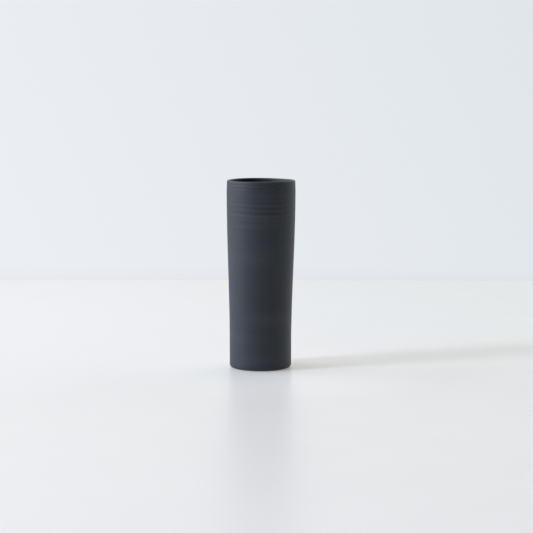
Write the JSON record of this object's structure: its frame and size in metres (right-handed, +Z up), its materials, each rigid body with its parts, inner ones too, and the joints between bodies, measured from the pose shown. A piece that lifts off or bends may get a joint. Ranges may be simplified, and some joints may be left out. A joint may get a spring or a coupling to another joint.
{
  "type": "stoneware vase",
  "caption": "Tall, slim, almost cylindrical stoneware flower vase with a thin round lip, a matte black wall with fine throwing rings, and a glazed inside.",
  "frame": {"origin": "centre of the foot, on the surface that the vase stands on", "axes": "+Z up along the vase's axis, towards the mouth; +X and +Y lie in the surface that it stands on"},
  "size_m": [0.0728, 0.0728, 0.2],
  "materials": {
    "black_stoneware": "matte bluish charcoal stoneware, with fine throwing rings",
    "bare_clay": "raw fired dark clay, grainy and dry",
    "liner_glaze": "satin black liner glaze"
  },
  "bodies": {
    "root": {"thrown_wall": "black_stoneware", "floor_disc": "bare_clay", "seam_coil": "bare_clay", "liner_glaze": "liner_glaze"}
  },
  "joints": []
}
